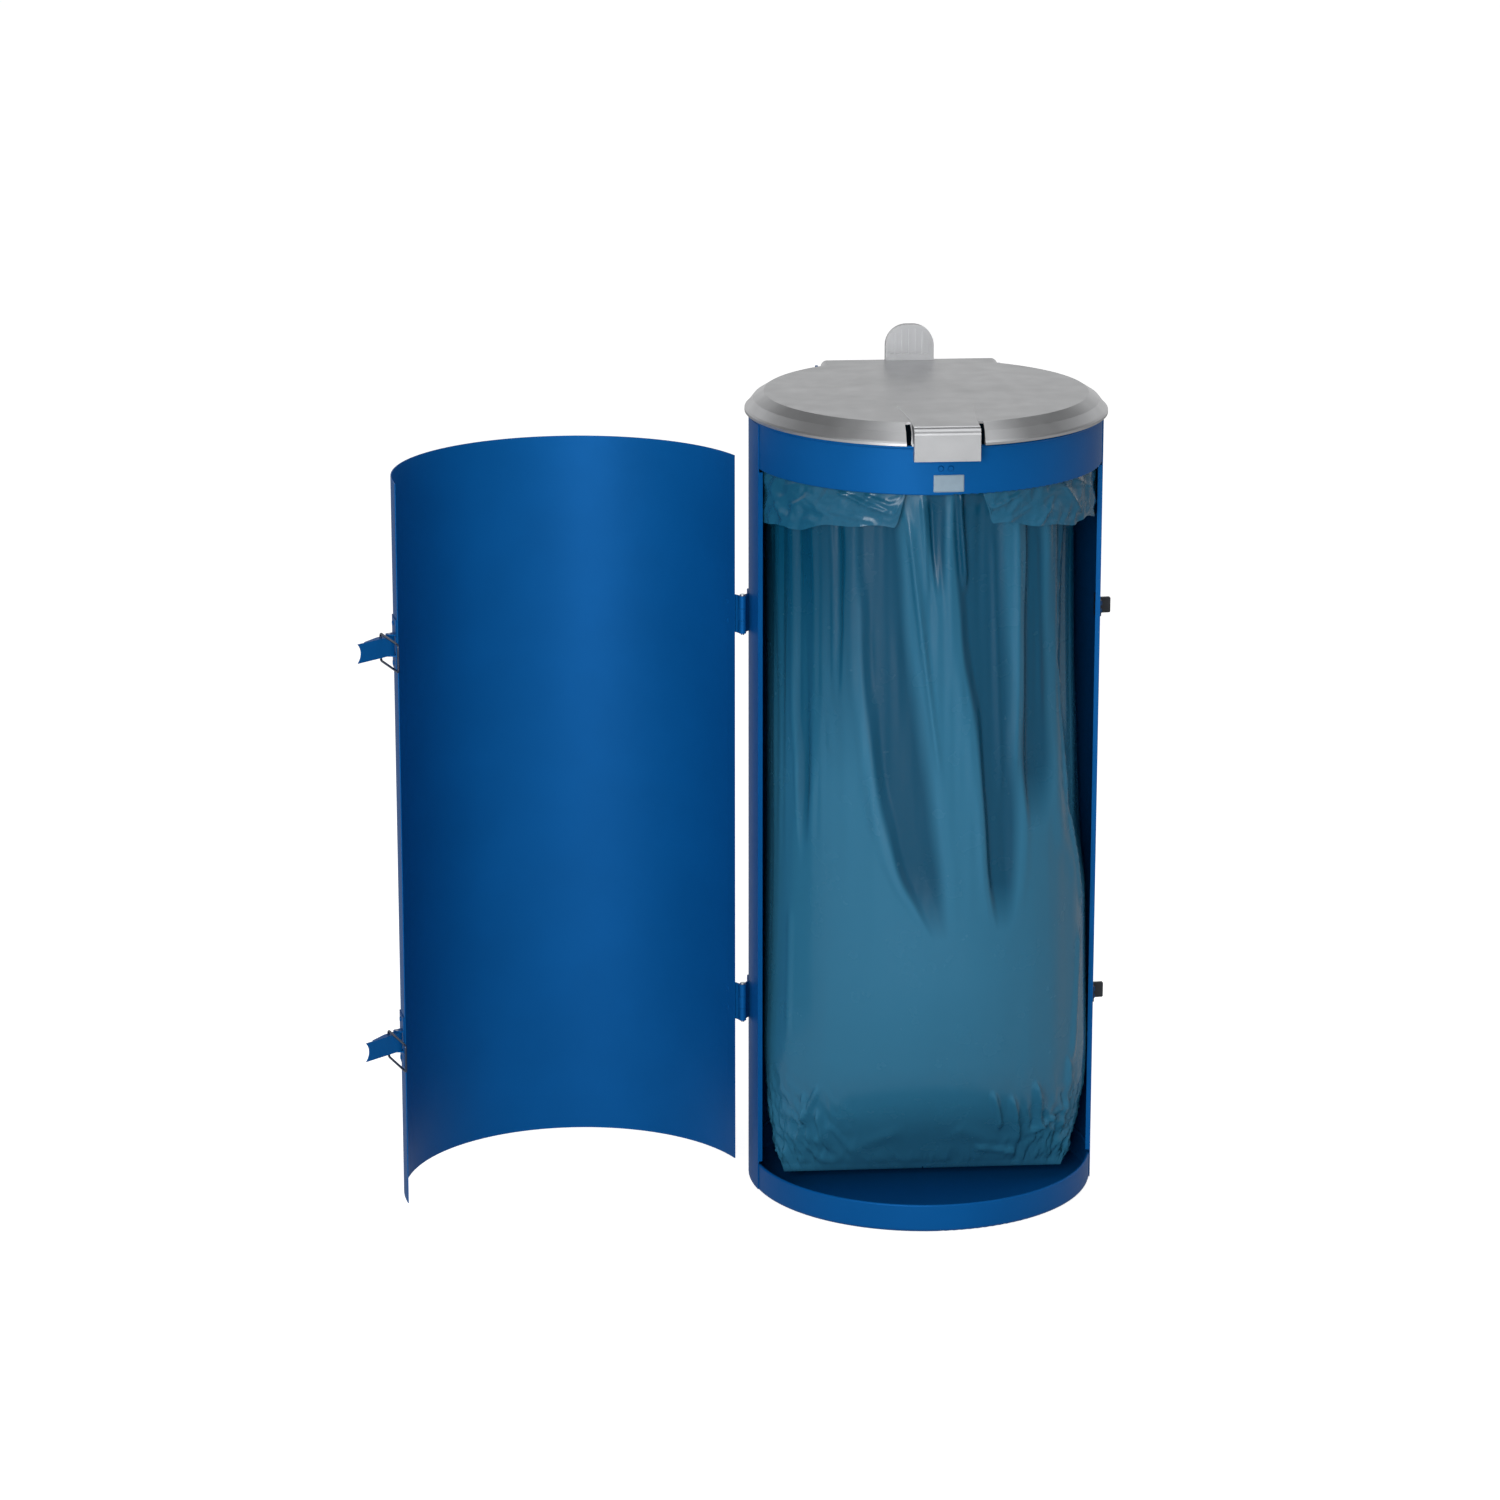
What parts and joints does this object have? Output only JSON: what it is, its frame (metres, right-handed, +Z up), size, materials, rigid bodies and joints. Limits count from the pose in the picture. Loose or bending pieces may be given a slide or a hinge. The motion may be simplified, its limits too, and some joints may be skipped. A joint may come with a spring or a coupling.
{
  "type": "steel waste bin",
  "caption": "Round sheet steel waste bin with a hung film sack, a full-height curved front door held by toggle latches, and a hinged plastic lid.",
  "frame": {"origin": "floor level at the centre of the round base tray", "axes": "+Z up, -Y out of the front that the door closes, +X to the right seen from the front"},
  "size_m": [0.9441, 0.458, 1.073],
  "materials": {
    "blue_coat": "semi-gloss powder coat",
    "lid_plastic": "fine-grained silver grey moulding",
    "sack_film": "translucent blue film",
    "zinc_steel": "zinc plated",
    "black_steel": "black"
  },
  "bodies": {
    "housing": {"base_tray": "blue_coat", "rear_shell": "blue_coat", "top_ring": "blue_coat", "sack_ring": "zinc_steel", "ring_lug_front": "black_steel", "ring_lug_right": "black_steel", "ring_lug_left": "black_steel", "sack": "sack_film", "lid_rod": "zinc_steel", "lid_bracket_left": "blue_coat", "lid_bracket_right": "blue_coat", "housing_rivets": "blue_coat", "body_leaf_upper": "blue_coat", "hinge_pin_upper": "zinc_steel", "strike_upper": "black_steel", "strike_backing_upper": "black_steel", "body_leaf_lower": "blue_coat", "hinge_pin_lower": "zinc_steel", "strike_lower": "black_steel", "strike_backing_lower": "black_steel"},
    "door": {"door_panel": "blue_coat", "door_rivets": "blue_coat", "door_leaf_upper": "blue_coat", "latch_base_upper": "blue_coat", "latch_pin_upper": "zinc_steel", "door_leaf_lower": "blue_coat", "latch_base_lower": "blue_coat", "latch_pin_lower": "zinc_steel"},
    "lid": {"lid": "lid_plastic"},
    "lever_upper": {"lever_upper": "blue_coat"},
    "bail_upper": {"bail_upper": "zinc_steel"},
    "lever_lower": {"lever_lower": "blue_coat"},
    "bail_lower": {"bail_lower": "zinc_steel"}
  },
  "joints": [
    {"name": "door_hinge", "type": "hinge", "parent": "housing", "child": "door", "pos_m": [-0.22876, -0.01039, 0.494], "axis": [0, 0, 1], "range_deg": [-15, 161]},
    {"name": "lid_hinge", "type": "hinge", "parent": "housing", "child": "lid", "pos_m": [0, 0.214, 1.01], "axis": [-1, 0, 0], "range_deg": [0, 100]},
    {"name": "lever_upper_pivot", "type": "hinge", "parent": "door", "child": "lever_upper", "pos_m": [-0.66919, -0.13118, 0.748], "axis": [0, 0, -1], "range_deg": [0, 127]},
    {"name": "bail_upper_pivot", "type": "hinge", "parent": "lever_upper", "child": "bail_upper", "pos_m": [-0.6795, -0.14066, 0.748], "axis": [0, 0, -1], "range_deg": [-122.7, 0]},
    {"name": "lever_lower_pivot", "type": "hinge", "parent": "door", "child": "lever_lower", "pos_m": [-0.66919, -0.13118, 0.24], "axis": [0, 0, -1], "range_deg": [0, 127]},
    {"name": "bail_lower_pivot", "type": "hinge", "parent": "lever_lower", "child": "bail_lower", "pos_m": [-0.6795, -0.14066, 0.24], "axis": [0, 0, -1], "range_deg": [-122.7, 0]}
  ],
  "couplings": [
    {"joint": "bail_upper_pivot", "follows": "lever_upper_pivot", "ratio": -0.9655},
    {"joint": "bail_lower_pivot", "follows": "lever_lower_pivot", "ratio": -0.9655}
  ]
}
